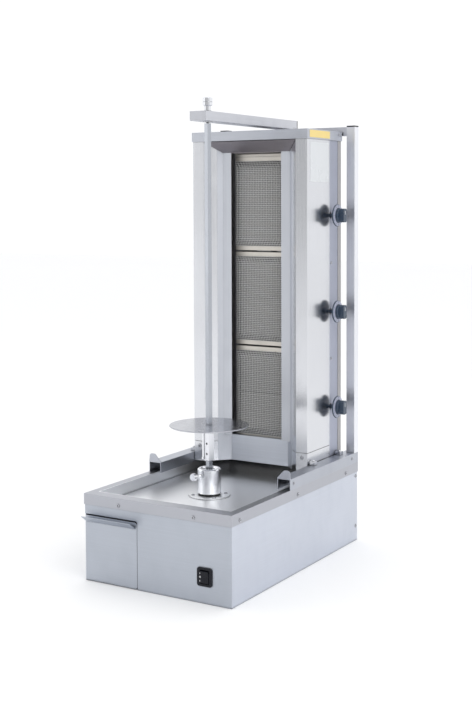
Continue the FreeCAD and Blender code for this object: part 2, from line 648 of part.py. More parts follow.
def make_spit():
    """Rotating parts: drive shaft, cup, its thumbscrew and the square bar."""
    bar_low = "(cup_bottom + 6)"

    def on_spit(item):
        item.Placement = FreeCAD.Placement(
            FreeCAD.Vector(), FreeCAD.Rotation(FreeCAD.Vector(0, 0, 1), value("spit_turn")))
        return place(item, "0", "spit_along", "0")

    shaft = rod("drive_shaft", "z", "shaft_radius", ("0", "spit_along"),
                (f"{PAN_FLOOR} - steel - 52", "cup_bottom"))
    node("drive_shaft", shaft)

    cup = new_body("cup_turning")
    revolve(cup, [
        ("0", "cup_bottom"), ("cup_radius - 1.5", "cup_bottom"),
        ("cup_radius", "cup_bottom + 1.5"), ("cup_radius", "cup_top - 2"),
        ("cup_radius - 2", "cup_top"), ("cup_radius - 7", "cup_top"),
        ("cup_radius - 9", "cup_top - 3"), ("0", "cup_top - 3")])
    half = "socket_side/2"
    socket = block("cup_socket", (f"-{half}", half), (f"-{half}", half),
                   (bar_low, "cup_top + 5"))
    thread = rod("cup_thread", "y", "3 + running", ("0", "cup_top - 13"), ("-cup_radius - 2", "0"))
    node("drive_cup", on_spit(carve("drive_cup", cup, socket, thread)))

    screw_stem = rod("thumb_stem", "y", "3", ("0", "cup_top - 13"),
                     ("-cup_radius - 14", "-spit_side/2 - 0.4"))
    screw_collar = rod("thumb_collar", "y", "5", ("0", "cup_top - 13"),
                       ("-cup_radius - 18", "-cup_radius - 12"))
    screw_head = rod("thumb_head", "y", "8", ("0", "cup_top - 13"),
                     ("-cup_radius - 24", "-cup_radius - 17"))
    node("cup_thumbscrew", on_spit(join("cup_thumbscrew", screw_stem, screw_collar, screw_head)))

    side = "spit_side/2"
    bar = block("bar_square", (f"-{side}", side), (f"-{side}", side), (f"{bar_low} + 0.5", "bar_top"))
    pivot_hole = rod("bar_pivot_hole", "z", "tip_radius + running", ("0", "0"),
                     ("bar_top - 14", "bar_top + 1"))
    node("spit_bar", on_spit(carve("spit_bar", bar, pivot_hole)))

    plate = new_body("disc_turning")
    revolve(plate, [
        ("0", "disc_up - disc_height - 3"), ("disc_radius - 12", "disc_up - disc_height - 3"),
        ("disc_radius", "disc_up - disc_height"), ("disc_radius", "disc_up"),
        ("disc_radius - 2", "disc_up"), ("disc_radius - 13", "disc_up - 3"),
        ("0", "disc_up - 3")])
    disc_hole = block("disc_hole", (f"-{half}", half), (f"-{half}", half),
                      ("disc_up - 20", "disc_up + 5"))
    node("meat_disc", on_spit(carve("meat_disc", plate, disc_hole)))

    wide = "sleeve_side/2"
    disc_under = "disc_up - disc_height - 3"
    tube = block("sleeve_outside", (f"-{wide}", wide), (f"-{wide}", wide),
                 ("sleeve_bottom", disc_under))
    room = block("sleeve_inside", (f"-{half}", half), (f"-{half}", half),
                 ("sleeve_bottom - 5", "disc_up"))
    pin_holes = [rod(f"sleeve_hole{i}", "y", "2.4", ("0", f"sleeve_bottom + 14 + {i}*22"),
                     (f"-{wide} - 3", "0")) for i in range(2)]
    node("disc_sleeve", on_spit(carve("disc_sleeve", tube, room, *pin_holes)))
    clip = join("clip_wire",
                rod("clip_rod", "z", "2.2", (f"-{wide} - 2.6", f"-{wide} - 1"),
                    ("sleeve_bottom + 2", f"{disc_under} - 6")),
                block("clip_head", (f"-{wide} - 5", f"-{wide}"), (f"-{wide} - 3.2", f"-{wide} + 4"),
                      (f"{disc_under} - 10", f"{disc_under} - 5")),
                block("clip_tail", (f"-{wide} - 5", f"-{wide}"), (f"-{wide} - 3.2", f"-{wide} + 4"),
                      ("sleeve_bottom + 2", "sleeve_bottom + 6")))
    node("disc_clip", on_spit(clip))

    pivot = new_body("pivot_pin")
    arm_top = "frame_top + tube"
    revolve(pivot, [
        ("0", "bar_top - 13"), ("tip_radius - 1", "bar_top - 13"), ("tip_radius", "bar_top - 12"),
        ("tip_radius", "bar_top + 1"), ("pin_radius", "bar_top + 2"),
        ("pin_radius", f"{arm_top} + 3"), ("7.5", f"{arm_top} + 3"),
        ("7.5", f"{arm_top} + 12.5"), ("10.5", f"{arm_top} + 14"), ("10.5", f"{arm_top} + 20"),
        ("9.7", f"{arm_top} + 20.6"), ("10.5", f"{arm_top} + 21.2"), ("10.5", f"{arm_top} + 29"),
        ("8.5", f"{arm_top} + 31"), ("0", f"{arm_top} + 31")])
    node("top_pivot_pin", place(pivot, "0", "spit_along", "0"))


# ---------------------------------------------------------------- burner tower

def make_tower_side(side, way):
    """Bent side sheet: side wall, front strip and the outer part of the wing.

    Returns the foot plate that continues it down to the rails.
    """
    def x(text):
        return f"{way}*({text})"

    reach = "wing_reach*0.7"
    face_edge = "tower_half - post_face"
    profile = [
        (x("tower_half"), "strip_start"), (x("tower_half"), "tower_front"),
        (x(face_edge), "tower_front"), (x(f"{face_edge} - {reach}"), f"tower_front + {reach}"),
        (x(f"{face_edge} - {reach} + steel*0.7"), f"tower_front + {reach} + steel*0.7"),
        (x(f"{face_edge} + steel*0.4"), "tower_front + steel"),
        (x("tower_half - steel"), "tower_front + steel"),
        (x("tower_half - steel"), "strip_start")]
    body = new_body(f"tower_side_{side}")
    sketch = new_sketch(body, "XY_Plane", "foot_top + 1")
    polygon(sketch, profile)
    feature(body, "Pad", sketch, "tower_top - cap_skirt - foot_top - 1")
    node(f"tower_side_{side}", body)

    foot = new_body(f"foot_plate_{side}")
    foot_sketch = new_sketch(foot, "XY_Plane", "tower_bottom")
    polygon(foot_sketch, profile)
    feature(foot, "Pad", foot_sketch, "foot_top - tower_bottom")

    start, end = f"{face_edge} - {reach}", f"{face_edge} - wing_reach"
    wing = new_body(f"wing_{side}")
    foot_edge = f"{face_edge} - apron_reach"
    lower_sketch = new_sketch(wing, "XY_Plane", "tower_bottom")
    polygon(lower_sketch, [
        (x(start), f"tower_front + {reach}"), (x(foot_edge), "tower_front + apron_reach"),
        (x(f"{foot_edge} + steel*0.7"), "tower_front + apron_reach + steel*0.7"),
        (x(f"{start} + steel*0.7"), f"tower_front + {reach} + steel*0.7")])
    feature(wing, "Pad", lower_sketch, "apron_top - tower_bottom")
    wing_sketch = new_sketch(wing, "XY_Plane", "apron_top")
    polygon(wing_sketch, [
        (x(start), f"tower_front + {reach}"), (x(end), "tower_front + wing_reach"),
        (x(f"{end} - flange_face"), "tower_front + wing_reach"),
        (x(f"{end} - flange_face"), "tower_front + wing_reach + steel"),
        (x(f"{end} + steel*0.4"), "tower_front + wing_reach + steel"),
        (x(f"{start} + steel*0.7"), f"tower_front + {reach} + steel*0.7")])
    feature(wing, "Pad", wing_sketch, "tower_top - cap_skirt - apron_top")
    node(f"wing_{side}", wing)

    strip = block(f"strip_sheet_{side}",
                  sorted_pair(way, "tower_half - 0.5", "tower_half - 0.5 - steel"),
                  ("strip_start", "cover_start"), ("tower_bottom", "tower_top - cap_skirt"))
    if way > 0:
        holes = [rod(f"stem_hole{i}", "x", "7", ("knob_along", knob_height(i)),
                     ("tower_half - 10", "tower_half + 5")) for i in range(3)]
        strip = carve("strip_with_holes", strip, *holes)
    node(f"control_strip_{side}", strip)
    return foot


def sorted_pair(way, high, low):
    """(low, high) pair of expressions on the left or the right side."""
    return (low, high) if way > 0 else (f"-({high})", f"-({low})")


def burner_height(i):
    return f"(burner_first + {i}*burner_pitch)"


def knob_height(i):
    return f"(burner_first + {i}*burner_pitch - knob_drop)"


def make_tower_shell():
    """Cap, hood, apron, floor and rear cover of the tower."""
    inner = "(tower_half - post_face)"
    cap_low = "(tower_top - cap_skirt)"
    lid = block("cap_outside", ("-tower_half - 2", "tower_half + 2"),
                ("tower_front - 2", "tower_rear + 2"), (cap_low, "tower_top"))
    under = block("cap_inside", ("-tower_half - 0.5", "tower_half + 0.5"),
                  ("tower_front - 0.5", "tower_rear + 0.5"), (f"{cap_low} - 1", "tower_top - steel"))
    slots = [block(f"cap_slot{i}", (f"-105 + {i}*36", f"-81 + {i}*36"),
                   ("tower_front + 60", "tower_rear - 30"), ("tower_top - 5", "tower_top + 5"))
             for i in range(6)]
    node("top_cap", carve("top_cap", lid, under, *slots))

    hood = new_body("hood_slope")
    sketch = new_sketch(hood, "XY_Plane")
    slope = "sqrt(wing_reach^2 + hood_drop^2)"
    polygon(sketch, [
        (f"-{inner} + 1", "0.5"), (f"{inner} - 1", "0.5"),
        (f"{inner} - wing_reach - 1", slope), (f"-{inner} + wing_reach + 1", slope)])
    feature(hood, "Pad", sketch, "1")
    hood.Placement = FreeCAD.Placement(
        FreeCAD.Vector(), FreeCAD.Rotation(FreeCAD.Vector(-1, 0, 0), 30))
    bind(hood, "Placement.Rotation.Angle", "atan(hood_drop/wing_reach)")
    place(hood, "0", "tower_front", f"{cap_low} - 1.4")
    flat = f"({inner} - wing_reach - flange_face - 1)"
    lip = block("hood_lip", (f"-{flat}", flat), ("tower_front + wing_reach - 1", BURNER_FACE),
                (f"{cap_low} - hood_drop - 2.4", f"{cap_low} - hood_drop - 1"))
    node("hood", join("hood_sheet", hood, lip))

    apron_x = (f"-{inner} + apron_reach", f"{inner} - apron_reach")
    apron_y, floor_start = "(tower_front + apron_reach)", "(tower_front + apron_reach + 2)"
    node("apron", join(
        "apron",
        block("apron_face", apron_x, (apron_y, f"{apron_y} + steel"), ("tower_bottom", "apron_top")),
        block("apron_ledge", apron_x, (apron_y, BURNER_FACE), ("apron_top - steel", "apron_top")),
        block("apron_foot", apron_x, (apron_y, floor_start),
              ("tower_bottom", "tower_bottom + steel"))))
    node("tower_floor", block(
        "tower_floor", ("-tower_half + steel + 0.5", "tower_half - steel - 0.5"),
        (floor_start, "tower_rear - steel"), ("tower_bottom", "tower_bottom + steel")))

    outside = block("cover_outside", ("-tower_half", "tower_half"),
                    ("cover_start", "tower_rear"), ("tower_bottom", cap_low))
    inside = block("cover_inside", ("-tower_half + steel", "tower_half - steel"),
                   ("cover_start - 5", "tower_rear - steel"),
                   ("tower_bottom - 5", f"{cap_low} + 5"))
    louvres = [block(f"louvre{row}_{column}", (f"{column}*55 - 20", f"{column}*55 + 20"),
                     ("tower_rear - 5", "tower_rear + 5"),
                     (f"300 + {row}*60", f"306 + {row}*60"))
               for row in range(9) for column in (-1, 0, 1)]
    inlet_hole = rod("cover_inlet_hole", "y", "inlet_radius + 3", ("manifold_across", "inlet_up"),
                     ("tower_rear - 8", "tower_rear + 8"))
    node("tower_rear_cover", carve("tower_rear_cover", outside, inside, inlet_hole, *louvres))


def make_burner(i, level):
    """Steel box of one infrared burner; returns its two ceramic tiles and its mesh."""
    centre = burner_height(i)
    face = BURNER_FACE

    def across(grow):
        return (f"-burner_half - {grow}", f"burner_half + {grow}")

    def upright(grow):
        return (f"{centre} - burner_tall - {grow}", f"{centre} + burner_tall + {grow}")

    box = carve(
        f"burner_box_{level}_steel",
        block(f"burner_outside{i}", across("burner_side"), (face, f"{face} + burner_deep"),
              upright("burner_rim")),
        block(f"burner_tile_room{i}", across("0.5"), (f"{face} - 1", f"{face} + 6 + tile_thick"),
              upright("0.5")),
        block(f"burner_plenum{i}", across("-5"), (f"{face} + 10", f"{face} + burner_deep - 4"),
              upright("-5")))
    node(f"burner_box_{level}", box)

    tiles = []
    for row, way in enumerate((-1, 1)):
        low = f"{centre} - burner_tall" if way < 0 else f"{centre} + burner_tall - tile_height"
        tiles.append(block(f"tile{i}_{row}", across("0"),
                           (f"{face} + 6", f"{face} + 6 + tile_thick"),
                           (low, f"{low} + tile_height")))

    mesh_y = ("mesh_along", "mesh_along + wire")
    up_count, across_count = 11, 15

    def spaced(middle, half, k, count):
        """Place of wire k out of count, from one edge of the mesh to the other."""
        reach = f"({half} + mesh_margin)"
        low = f"({middle} - {reach} + {k}*(2*{reach} - wire)/{count - 1})"
        return (low, f"{low} + wire")

    rods_up = [block(f"wire_up{i}_{k}", spaced("0", "burner_half", k, up_count), mesh_y,
                     upright("mesh_margin")) for k in range(up_count)]
    rods_across = [block(f"wire_across{i}_{k}", across("mesh_margin"), mesh_y,
                         spaced(centre, "burner_tall", k, across_count))
                   for k in range(across_count)]
    tabs = []
    for k, way in enumerate((-1, 1)):
        middle = f"{way}*(burner_half + 2)"
        tabs.append(block(f"mesh_tab{i}_{k}", (f"{middle} - 3", f"{middle} + 3"),
                          ("mesh_along", face), (f"{centre} - 8", f"{centre} + 8")))
    return tiles, join(f"burner_mesh_{level}", *rods_up, *rods_across, *tabs)


def make_gas_train():
    """Manifold, valves, injector tubes, thermocouples and the inlet."""
    spot = ("manifold_across", "knob_along")
    pipe = rod("manifold_pipe", "z", "manifold_radius", spot, ("222", f"{knob_height(2)} + 30"))
    elbow = rod("inlet_elbow", "z", "inlet_radius + 3", spot, ("218", "246"))
    inlet_spot = ("manifold_across", "inlet_up")
    inlet = rod("inlet_pipe", "y", "inlet_radius - 1", inlet_spot, ("knob_along", "tower_rear"))
    thread = rod("inlet_thread", "y", "inlet_radius", inlet_spot,
                 ("tower_rear", "tower_rear + inlet_length"))
    nut = rod("inlet_nut", "y", "inlet_radius + 2", inlet_spot, ("tower_rear - 14", "tower_rear"))
    node("gas_manifold", join("gas_manifold", pipe, elbow, inlet, thread, nut))

    valves, tubes, probes = [], [], []
    valve_start = "manifold_across + manifold_radius - 2"
    for i in range(3):
        up = knob_height(i)
        body = block(f"valve_block{i}", (valve_start, "tower_half - 6"),
                     ("knob_along - 25", "knob_along + 11"), (f"{up} - 14", f"{up} + 14"))
        bore = rod(f"valve_bore{i}", "x", "4 + running", ("knob_along", up),
                   ("tower_half - 16", "tower_half + 3"))
        pipe_room = rod(f"valve_pipe_room{i}", "z", "manifold_radius", spot,
                        (f"{up} - 20", f"{up} + 20"))
        valves.append(carve(f"valve{i}", body, bore, pipe_room))
        tubes.append(rod(f"injector{i}", "x", "5", ("knob_along - 19", up),
                         ("burner_half + burner_side", valve_start)))
        probes.append(rod(f"thermocouple{i}", "x", "2",
                          (f"{BURNER_FACE} + burner_deep + 6",
                           f"{burner_height(i)} - burner_tall"),
                          ("-30", "manifold_across - manifold_radius - 2")))
    node("gas_valves", group("gas_valves", valves))
    node("injector_tubes", group("injector_tubes", tubes))
    node("thermocouples", group("thermocouples", probes))


def make_tower_fixings():
    """Shoes that ride on the rails, and the bolts of the foot plates."""
    shoes = []
    for way in (-1, 1):
        for k, y in enumerate((("96", "108"), ("222", "236"))):
            leg = block(f"shoe{way}_{k}", sorted_pair(way, f"{RAIL_INNER} + 14", "tower_half"),
                        y, (f"{RAIL_TOP} + 0.3", f"{RAIL_TOP} + 8"))
            bolt = rod(f"shoe_bolt{way}_{k}", "z", "3",
                       (f"{way}*({RAIL_INNER} + 8)", f"({y[0]} + {y[1]})/2"),
                       (f"{RAIL_TOP} + 8", f"{RAIL_TOP} + 11"))
            shoes.append(join(f"shoe_with_bolt{way}_{k}", leg, bolt))
    node("rail_shoes", group("rail_shoes", shoes))

    bolts = []
    for way in (-1, 1):
        bolts.append(screw(f"foot_bolt{way}", "y", -1,
                           (f"{way}*(tower_half - post_face/2)", "foot_top - 10"),
                           "tower_front", "3.4", "2.2"))
        for k in range(2):
            bolts.append(screw(f"side_rivet{way}_{k}", "x", way,
                               ("strip_start + 9", f"{burner_height(k)} + 82"),
                               f"{way}*(tower_half - 0.5)", "2.6", "1.4"))
        bolts.append(screw(f"cap_screw{way}", "x", way, ("tower_rear + 2 - 14", "tower_top - 7"),
                           f"{way}*(tower_half + 2)", "2.6", "1.4"))
    node("tower_screws", group("tower_screws", bolts))


def make_knob(i, level):
    """Control knob: skirt, hub and a raised grip bar, with its stem."""
    body = new_body(f"knob_{level}_turning")
    revolve(body, [
        ("0", "-14"), ("4", "-14"), ("4", "knob_stand - 4"), ("7", "knob_stand - 4"),
        ("7", "knob_stand"), ("skirt_radius - 0.5", "knob_stand"),
        ("skirt_radius", "knob_stand + 0.8"), ("skirt_radius", "knob_stand + 2.2"),
        ("skirt_radius - 0.8", "knob_stand + 3"), ("grip_radius + 1", "knob_stand + 4"),
        ("grip_radius", "knob_stand + 5"), ("grip_radius", "knob_stand + 9"),
        ("grip_radius - 1", "knob_stand + 10"), ("0", "knob_stand + 10")])
    grip = new_sketch(body, "XY_Plane", "knob_stand + 9")
    tip, shoulder = "(grip_radius - 0.2)", "(grip_radius - 3)"
    polygon(grip, [
        (f"-{tip}", "-grip_half/2"), (f"-{shoulder}", "-grip_half"), (shoulder, "-grip_half"),
        (tip, "-grip_half/2"), (tip, "grip_half/2"), (shoulder, "grip_half"),
        (f"-{shoulder}", "grip_half"), (f"-{tip}", "grip_half/2")])
    feature(body, "Pad", grip, "knob_reach - knob_stand - 9")
    body.Placement = FreeCAD.Placement(FreeCAD.Vector(), AXIS_TURN["x"])
    node(f"knob_{level}", place(body, "tower_half", "knob_along", knob_height(i)))


make_base_panels()
make_top_pan()
make_cabinet_screws()
make_drawer_runners()
make_drawer()
make_switch()
for side_name, side_way in (("left", -1), ("right", 1)):
    make_rail(side_name, side_way)
node("foot_plates", group("foot_plates", [
    make_tower_side(side_name, side_way)
    for side_name, side_way in (("left", -1), ("right", 1))]))
make_frame()
make_drive()
make_spit()
make_tower_shell()
all_tiles, all_meshes = [], []
for burner_index, level_name in enumerate(("bottom", "middle", "top")):
    burner_tiles, burner_mesh = make_burner(burner_index, level_name)
    all_tiles += burner_tiles
    all_meshes.append(burner_mesh)
    make_knob(burner_index, level_name)
node("ceramic_tiles", group("ceramic_tiles", all_tiles))
node("burner_meshes", group("burner_meshes", all_meshes))
make_gas_train()
make_tower_fixings()
make_cable_gland()

doc.recompute()
for item in doc.Objects:
    if "Invalid" in item.State or "Error" in item.State:
        raise RuntimeError(f"{item.Name} failed: {item.State}")
os.makedirs("parts", exist_ok=True)
for item in node_objects:
    if item.Shape.isNull() or not item.Shape.isValid():
        raise RuntimeError(f"{item.Label} has no valid shape")
for item in node_objects:
    item.Shape.exportStep(f"parts/{item.Label}.step")
print(len(node_objects), "sub-parts")
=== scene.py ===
import json
import math

import bmesh
import bpy
from mathutils import Matrix, Vector


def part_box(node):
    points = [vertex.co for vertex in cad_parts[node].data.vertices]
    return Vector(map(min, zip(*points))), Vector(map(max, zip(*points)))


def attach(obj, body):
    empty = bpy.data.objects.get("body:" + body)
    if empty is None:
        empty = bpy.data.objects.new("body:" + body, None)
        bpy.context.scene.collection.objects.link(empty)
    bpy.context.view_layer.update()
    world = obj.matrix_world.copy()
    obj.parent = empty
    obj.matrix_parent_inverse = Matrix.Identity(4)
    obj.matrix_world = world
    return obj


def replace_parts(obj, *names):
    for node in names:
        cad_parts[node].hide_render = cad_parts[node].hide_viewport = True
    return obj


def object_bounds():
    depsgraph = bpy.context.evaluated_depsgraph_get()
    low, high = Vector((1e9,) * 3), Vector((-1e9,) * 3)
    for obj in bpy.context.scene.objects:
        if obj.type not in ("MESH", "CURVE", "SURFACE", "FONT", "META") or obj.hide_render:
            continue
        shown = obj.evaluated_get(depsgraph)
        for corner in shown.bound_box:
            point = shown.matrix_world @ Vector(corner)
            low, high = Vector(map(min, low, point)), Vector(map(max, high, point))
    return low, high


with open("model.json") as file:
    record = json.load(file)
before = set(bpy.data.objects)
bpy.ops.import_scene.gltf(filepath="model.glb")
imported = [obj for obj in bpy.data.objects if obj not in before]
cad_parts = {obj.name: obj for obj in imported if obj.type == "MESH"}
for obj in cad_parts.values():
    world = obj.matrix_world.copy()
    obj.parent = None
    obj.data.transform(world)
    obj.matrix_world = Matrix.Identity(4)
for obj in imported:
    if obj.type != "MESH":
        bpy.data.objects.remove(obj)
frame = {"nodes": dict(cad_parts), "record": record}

# Looks of a vertical rotisserie broiler, in metres, in the frame of its CAD parts.

cad_low, cad_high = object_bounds()
nodes = frame["nodes"]
TAU = 2 * math.pi


# ---------------------------------------------------------------- camera, light and floor

LONG_SIDE = 707
SENSOR = 36.0
FOCAL_PIXELS = 1202.4
VIEW_AZIMUTH = math.radians(31.31)
VIEW_DOWN = math.radians(2.91)
VIEW_ROLL = math.radians(-0.21)
CAMERA_PLACE = Vector((1.3655, -2.2185, 0.7820))
SHIFT_X, SHIFT_Y = 0.0028, -0.1279
CLIP_END = 50

# Area lights: place and size in metres, power in watts.
AREA_LIGHTS = {
    "key": ((2.4, -1.6, 2.6), (2.2, 2.2), 28),
    "fill": ((-2.6, -2.0, 1.4), (2.0, 2.4), 10),
}
LIGHT_TARGET = Vector((0, 0, 0.45))
OVERHEAD_STRENGTH = 0.28
OVERHEAD_ANGLE = math.radians(120)
STUDIO_WHITE = (0.985, 0.99, 1.0)
FRONT_STRENGTH, REAR_STRENGTH = 0.58, 1.05
FLOOR_HALF = 12
FLOOR_GAP = 0.0004


def make_camera():
    """Camera at the view's angle, above the middle of the object."""
    forward = Vector((-math.sin(VIEW_AZIMUTH) * math.cos(VIEW_DOWN),
                      math.cos(VIEW_AZIMUTH) * math.cos(VIEW_DOWN), -math.sin(VIEW_DOWN)))
    right = Vector((math.cos(VIEW_AZIMUTH), math.sin(VIEW_AZIMUTH), 0))
    up = right.cross(forward)
    turned_right = right * math.cos(VIEW_ROLL) + up * math.sin(VIEW_ROLL)
    turned_up = up * math.cos(VIEW_ROLL) - right * math.sin(VIEW_ROLL)
    data = bpy.data.cameras.new("camera")
    data.sensor_width = SENSOR
    data.lens = FOCAL_PIXELS / LONG_SIDE * SENSOR
    data.shift_x, data.shift_y = SHIFT_X, SHIFT_Y
    data.clip_end = CLIP_END
    camera = bpy.data.objects.new("camera", data)
    camera.matrix_world = Matrix.Translation(CAMERA_PLACE) @ Matrix(
        (turned_right, turned_up, -forward)).transposed().to_4x4()
    bpy.context.scene.collection.objects.link(camera)
    bpy.context.scene.camera = camera


def make_light(name, place, size, power):
    """Rectangular soft light that looks at the middle of the object."""
    data = bpy.data.lights.new(name, "AREA")
    data.shape = "RECTANGLE"
    data.size, data.size_y = size
    data.energy = power
    light = bpy.data.objects.new(name, data)
    light.location = place
    light.rotation_euler = (LIGHT_TARGET - Vector(place)).to_track_quat("-Z", "Y").to_euler()
    bpy.context.scene.collection.objects.link(light)


def make_overhead():
    """Wide soft light from straight above."""
    data = bpy.data.lights.new("overhead", "SUN")
    data.energy = OVERHEAD_STRENGTH
    data.angle = OVERHEAD_ANGLE
    light = bpy.data.objects.new("overhead", data)
    light.location = (0, 0, 3)
    bpy.context.scene.collection.objects.link(light)


def make_world():
    """Plain white studio, dimmer ahead of the object than behind it."""
    world = bpy.data.worlds.new("studio")
    world.use_nodes = True
    tree = world.node_tree
    background = tree.nodes["Background"]
    background.inputs["Color"].default_value = (*STUDIO_WHITE, 1)
    where = add(tree, "ShaderNodeTexCoord")
    split = add(tree, "ShaderNodeSeparateXYZ")
    tree.links.new(where.outputs["Generated"], split.inputs["Vector"])
    tree.links.new(spread(tree, split.outputs["Y"], (-0.9, 0.1), (FRONT_STRENGTH, REAR_STRENGTH)),
                   background.inputs["Strength"])
    bpy.context.scene.world = world


def make_floor():
    """Plain pale floor just under the object."""
    half = FLOOR_HALF
    mesh = bpy.data.meshes.new("floor")
    mesh.from_pydata([(-half, -half, 0), (half, -half, 0), (half, half, 0), (-half, half, 0)],
                     [], [(0, 1, 2, 3)])
    floor = bpy.data.objects.new("floor", mesh)
    floor.location.z = cad_low.z - FLOOR_GAP
    bpy.context.scene.collection.objects.link(floor)
    mesh.materials.append(plastic("floor_paint", (0.985, 0.985, 0.985), 0.8, speckle=0.002))


# ---------------------------------------------------------------- node helpers

# Most of a noise texture's values lie in this span, and a patchy part of them in the other.
NOISE_SPAN, PATCH_SPAN = (0.3, 0.7), (0.45, 0.75)
# Cosine between the true and the eased normal, from a flat face to the middle of an edge.
EDGE_SPAN = (0.99, 0.8)
# Ambient occlusion from a closed seam to an open face, which paints shade into seams and corners,
# and how far from a seam that painted shade reaches.
AIR_SPAN = (0.25, 0.85)
SEAM_REACH = 0.007


def add(tree, kind, **settings):
    """Add a node, with its settings."""
    node = tree.nodes.new(kind)
    for name, setting in settings.items():
        setattr(node, name, setting)
    return node


def feed(tree, socket, source):
    """Link an output to a socket, or set a plain number or colour on it."""
    if isinstance(source, bpy.types.NodeSocket):
        tree.links.new(source, socket)
    else:
        socket.default_value = source


def place_at(tree, scale):
    """Place on the object, stretched by a scale for each axis."""
    where = add(tree, "ShaderNodeTexCoord")
    mapping = add(tree, "ShaderNodeMapping")
    mapping.inputs["Scale"].default_value = scale
    tree.links.new(where.outputs["Object"], mapping.inputs["Vector"])
    return mapping.outputs["Vector"]


def noise(tree, scale, detail=2.0):
    """Noise texture in object space."""
    node = add(tree, "ShaderNodeTexNoise")
    node.inputs["Scale"].default_value = 1.0
    node.inputs["Detail"].default_value = detail
    tree.links.new(place_at(tree, scale), node.inputs["Vector"])
    return node.outputs["Fac"]


def spread(tree, source, old, new):
    """Map one range of numbers to another, clamped."""
    node = add(tree, "ShaderNodeMapRange")
    feed(tree, node.inputs["Value"], source)
    for name, number in zip(("From Min", "From Max", "To Min", "To Max"), (*old, *new)):
        node.inputs[name].default_value = number
    return node.outputs["Result"]


def calculate(tree, operation, first, second):
    """One step of arithmetic on outputs or plain numbers."""
    node = add(tree, "ShaderNodeMath", operation=operation)
    feed(tree, node.inputs[0], first)
    feed(tree, node.inputs[1], second)
    return node.outputs["Value"]


def mix(tree, factor, first, second):
    """Blend two colours."""
    node = add(tree, "ShaderNodeMix", data_type="RGBA")
    feed(tree, node.inputs[0], factor)
    feed(tree, node.inputs[6], first if not isinstance(first, tuple) else (*first, 1))
    feed(tree, node.inputs[7], second if not isinstance(second, tuple) else (*second, 1))
    return node.outputs[2]


def bump(tree, height, distance, strength=1.0, normal=None):
    """Normal of a surface with fine relief."""
    node = add(tree, "ShaderNodeBump")
    node.inputs["Strength"].default_value = strength
    node.inputs["Distance"].default_value = distance
    tree.links.new(height, node.inputs["Height"])
    if normal is not None:
        tree.links.new(normal, node.inputs["Normal"])
    return node.outputs["Normal"]


def rounded(tree, radius):
    """Normal with the edges eased, and a mask of those edges."""
    bevel = add(tree, "ShaderNodeBevel", samples=4)
    bevel.inputs["Radius"].default_value = radius
    flat = add(tree, "ShaderNodeNewGeometry")
    dot = add(tree, "ShaderNodeVectorMath", operation="DOT_PRODUCT")
    tree.links.new(bevel.outputs["Normal"], dot.inputs[0])
    tree.links.new(flat.outputs["Normal"], dot.inputs[1])
    return bevel.outputs["Normal"], spread(tree, dot.outputs["Value"], EDGE_SPAN, (0, 1))


def painted_seam_shade(tree):
    """Mask of painted shade: 1 on open faces, down to 0 in seams and corners."""
    node = add(tree, "ShaderNodeAmbientOcclusion", samples=6)
    node.inputs["Distance"].default_value = SEAM_REACH
    return spread(tree, node.outputs["AO"], AIR_SPAN, (0, 1))


def new_material(name):
    """A new material, its node tree and its shader."""
    material = bpy.data.materials.new(name)
    material.use_nodes = True
    return material, material.node_tree, material.node_tree.nodes["Principled BSDF"]


# ---------------------------------------------------------------- materials

# Width of the pan's rim at its sides, and at its front and rear.
PAN_SIDE_RIM, PAN_FRONT_RIM = 0.0175, 0.0265
# Half the height of one burner's wire screen.
SCREEN_HALF = 0.096
BURNERS = ("bottom", "middle", "top")

# Nodes that look different from the rest of their slot.
OWN_LOOK = {
    "top_arm": "arm_steel", "rear_crossbar": "bar_steel", "meat_disc": "disc_steel",
    "base_front_panel": "shaded_front_steel", "drawer_front": "shaded_front_steel", "drive_cup": "cup_steel",
    "spit_bar": "spit_steel", "apron": "apron_steel", "top_cap": "cap_steel",
    "rail_left": "rail_steel", "rail_right": "rail_steel", "tower_floor": "shadow_steel",
}

# Scales of the noise in metals, in plastics and in ceramic.
CLOUDS, HAND_MARKS = (5, 5, 5), (38, 38, 22)
BLOTCHES, GRIT = (30, 30, 30), (1400, 1400, 1400)
CHALK = (60, 60, 60)

# Brightness of a metal's painted shade in seams, its painted shadow under the tower and its
# edges, which are wear and painted highlight, against its own colour.
SEAM_SHADE, TOWER_SHADOW_DARK, WEAR_HIGHLIGHT_TINT = 0.22, 0.1, 1.25
# How far the darkest of the painted shadow under the tower goes towards its dark colour.
TOWER_SHADOW_DEPTH = 0.62
# Share of brushed streaks against clouds in a metal's tone, and of brightening on its edges,
# which is wear and painted highlight.
STREAKS, EDGE_WEAR_HIGHLIGHT_SHARE = 0.6, 0.5

# Grain: fine across the brushing, long along it. "level" brushes upright panels sideways.
FINE, LONG = 900, 5
GRAIN = {
    "x": (LONG, FINE, FINE),
    "y": (FINE, LONG, FINE),
    "z": (FINE, FINE, LONG),
    "level": (LONG, LONG, FINE),
    "turned": (60, 60, FINE),
}


def tint(colour, factor):
    """A colour made brighter or darker."""
    return tuple(min(1.0, channel * factor) for channel in colour)


def object_place(tree, axis):
    """Place on the object along one axis."""
    where = add(tree, "ShaderNodeTexCoord")
    split = add(tree, "ShaderNodeSeparateXYZ")
    tree.links.new(where.outputs["Object"], split.inputs["Vector"])
    return split.outputs[axis]


def column(half_x, half_y):
    """Mask: 1 inside an upright column round the Z axis."""
    def mask(tree):
        inside = [calculate(tree, "LESS_THAN",
                            calculate(tree, "ABSOLUTE", object_place(tree, axis), 0), half)
                  for axis, half in (("X", half_x), ("Y", half_y))]
        return calculate(tree, "MULTIPLY", *inside)
    return mask


def levels(first, pitch, half):
    """Mask: 1 within a half height of each of a row of levels."""
    def mask(tree):
        steps = calculate(tree, "DIVIDE",
                          calculate(tree, "SUBTRACT", object_place(tree, "Z"), first), pitch)
        part = calculate(tree, "FRACT", calculate(tree, "ADD", steps, 0.5), 0)
        off = calculate(tree, "ABSOLUTE", calculate(tree, "SUBTRACT", part, 0.5), 0)
        return calculate(tree, "LESS_THAN", off, half / pitch)
    return mask


